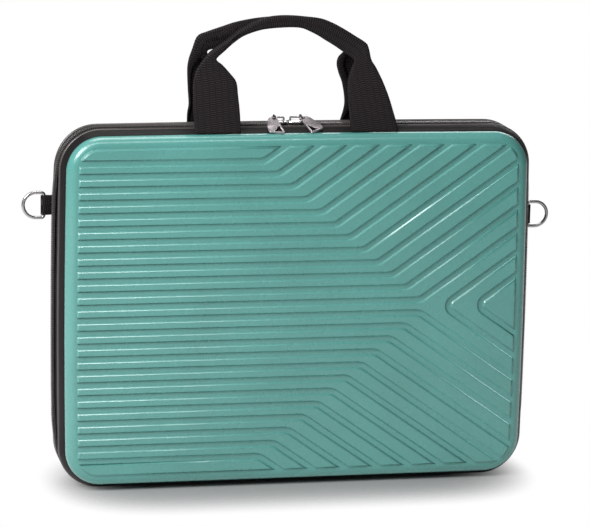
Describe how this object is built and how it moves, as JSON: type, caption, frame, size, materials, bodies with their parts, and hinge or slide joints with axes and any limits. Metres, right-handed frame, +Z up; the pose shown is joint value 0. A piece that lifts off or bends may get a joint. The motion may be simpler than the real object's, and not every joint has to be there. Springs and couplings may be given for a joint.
{
  "type": "laptop hard case",
  "caption": "Ribbed hard-shell laptop case with a soft zip frame that opens on a bottom hinge, two folding webbing handles, zip pullers and shoulder-strap rings.",
  "frame": {"origin": "under the case's centre on the surface that it stands on, in the zip plane", "axes": "+X to the viewer's right along the width, the front shell faces -Y, +Z up"},
  "size_m": [0.4742, 0.07, 0.4097],
  "materials": {
    "shell": "glossy moulded",
    "frame": "matt",
    "band": "coated cloth",
    "piping": "smooth cord",
    "tape": "woven tape",
    "coil": "nylon coil",
    "zip_metal": "plated",
    "puller": "satin, knurled face",
    "webbing": "ribbed webbing",
    "ring": "plated",
    "foam": "closed-cell foam",
    "lining": "soft lining cloth",
    "strap": "elastic strap",
    "closure": "hook and loop"
  },
  "bodies": {
    "rear_half": {"rear_band": "band", "rear_foam": "foam", "rear_frame": "frame", "rear_hinge_strip": "tape", "rear_lining": "lining", "rear_piping": "piping", "rear_shell": "shell", "rear_zip_coil": "coil", "rear_zip_stops": "zip_metal", "rear_zip_tape": "tape", "laptop_strap_left": "strap", "laptop_strap_right": "strap", "strap_closure": "closure", "ring_tab_left": "band", "ring_tab_right": "band"},
    "front_half": {"front_band": "band", "front_foam": "foam", "front_frame": "frame", "front_hinge_strip": "tape", "front_lining": "lining", "front_piping": "piping", "front_shell": "shell", "front_zip_coil": "coil", "front_zip_stops": "zip_metal", "front_zip_tape": "tape", "document_pocket": "lining", "pocket_binding": "strap"},
    "slider_left": {"slider_left": "zip_metal"},
    "slider_right": {"slider_right": "zip_metal"},
    "puller_left": {"pull_link_left": "zip_metal", "puller_left": "puller"},
    "puller_right": {"pull_link_right": "zip_metal", "puller_right": "puller"},
    "handle_front": {"handle_front": "webbing"},
    "handle_rear": {"handle_rear": "webbing"},
    "d_ring_left": {"d_ring_left": "ring"},
    "d_ring_right": {"d_ring_right": "ring"}
  },
  "joints": [
    {"name": "case_hinge", "type": "hinge", "parent": "rear_half", "child": "front_half", "pos_m": [0, 0, 0], "axis": [1, 0, 0], "range_deg": [0, 175]},
    {"name": "slider_left_run", "type": "slide", "parent": "front_half", "child": "slider_left", "axis": [-1, 0, 0], "range_m": [0, 0.02]},
    {"name": "slider_right_run", "type": "slide", "parent": "front_half", "child": "slider_right", "axis": [1, 0, 0], "range_m": [0, 0.02]},
    {"name": "puller_left_lift", "type": "hinge", "parent": "slider_left", "child": "puller_left", "pos_m": [-0.0155, 0, 0.323], "axis": [-1, 0, 0], "range_deg": [0, 165]},
    {"name": "puller_right_lift", "type": "hinge", "parent": "slider_right", "child": "puller_right", "pos_m": [0.0008, 0, 0.323], "axis": [-1, 0, 0], "range_deg": [0, 165]},
    {"name": "handle_front_fold", "type": "hinge", "parent": "front_half", "child": "handle_front", "pos_m": [-0.004, -0.0253, 0.314], "axis": [1, 0, 0], "range_deg": [0, 125]},
    {"name": "handle_rear_fold", "type": "hinge", "parent": "rear_half", "child": "handle_rear", "pos_m": [-0.004, 0.0253, 0.314], "axis": [-1, 0, 0], "range_deg": [0, 125]},
    {"name": "d_ring_left_swing", "type": "hinge", "parent": "rear_half", "child": "d_ring_left", "pos_m": [-0.21749, 0.0172, 0.24595], "axis": [0, 0, 1], "range_deg": [-75, 75]},
    {"name": "d_ring_right_swing", "type": "hinge", "parent": "rear_half", "child": "d_ring_right", "pos_m": [0.21766, 0.0172, 0.22995], "axis": [0, 0, 1], "range_deg": [-75, 75]}
  ]
}
